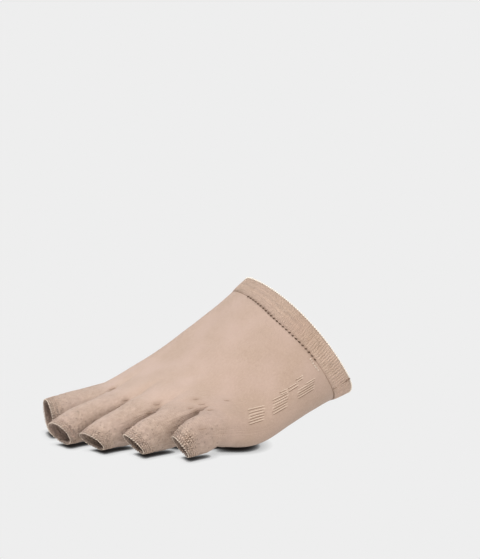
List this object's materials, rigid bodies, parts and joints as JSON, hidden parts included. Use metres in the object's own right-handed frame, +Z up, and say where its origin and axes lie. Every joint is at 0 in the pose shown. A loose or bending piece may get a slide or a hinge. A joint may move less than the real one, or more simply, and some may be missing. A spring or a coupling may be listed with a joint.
{
  "type": "compression toe cap",
  "caption": "Knitted compression sleeve for a left forefoot, shaped as worn, with a folded cuff and a short open-ended sleeve for each toe.",
  "frame": {"origin": "centre of the cuff's mouth, where the foot goes in and the cap is held", "axes": "toes point to -X and the foot's length lies along X, the little toe lies at -Y, +Z is up from the floor that the foot stands on"},
  "size_m": [0.1492, 0.0962, 0.0723],
  "materials": {
    "knit": "fine plain knit of nylon and elastane, matt",
    "welt": "the same knit, folded double and stitched down"
  },
  "bodies": {
    "root": {"forefoot_sleeve": "knit", "big_toe_sleeve": "knit", "second_toe_sleeve": "knit", "third_toe_sleeve": "knit", "fourth_toe_sleeve": "knit", "little_toe_sleeve": "knit", "cuff_band": "welt", "big_toe_hem": "welt", "second_toe_hem": "welt", "third_toe_hem": "welt", "fourth_toe_hem": "welt", "little_toe_hem": "welt"}
  },
  "joints": []
}
